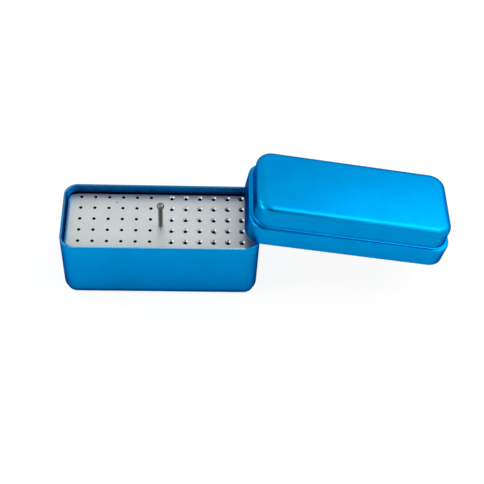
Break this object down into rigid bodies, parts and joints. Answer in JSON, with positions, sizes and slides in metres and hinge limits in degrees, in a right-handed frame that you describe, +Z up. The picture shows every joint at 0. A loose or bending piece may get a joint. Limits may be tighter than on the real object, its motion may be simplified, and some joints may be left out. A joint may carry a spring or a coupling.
{
  "type": "endodontic file box",
  "caption": "Drawn anodised metal box with a stepped lift-off lid and a folded, perforated rack with a lifting pin for root canal files.",
  "frame": {"origin": "middle of the box's underside, on the surface that it stands on", "axes": "+X along the box towards the lid that leans on its right end, +Y from front to back, +Z up"},
  "size_m": [0.2466, 0.0608, 0.0791],
  "materials": {
    "blue_anodised": "semi-gloss blue anodising",
    "satin_sheet": "fine satin, undyed",
    "pin_steel": "turned, plain"
  },
  "bodies": {
    "root": {"base_box": "blue_anodised", "lid": "blue_anodised", "file_rack": "satin_sheet", "lift_pin": "pin_steel", "pin_nut": "pin_steel"}
  },
  "joints": []
}
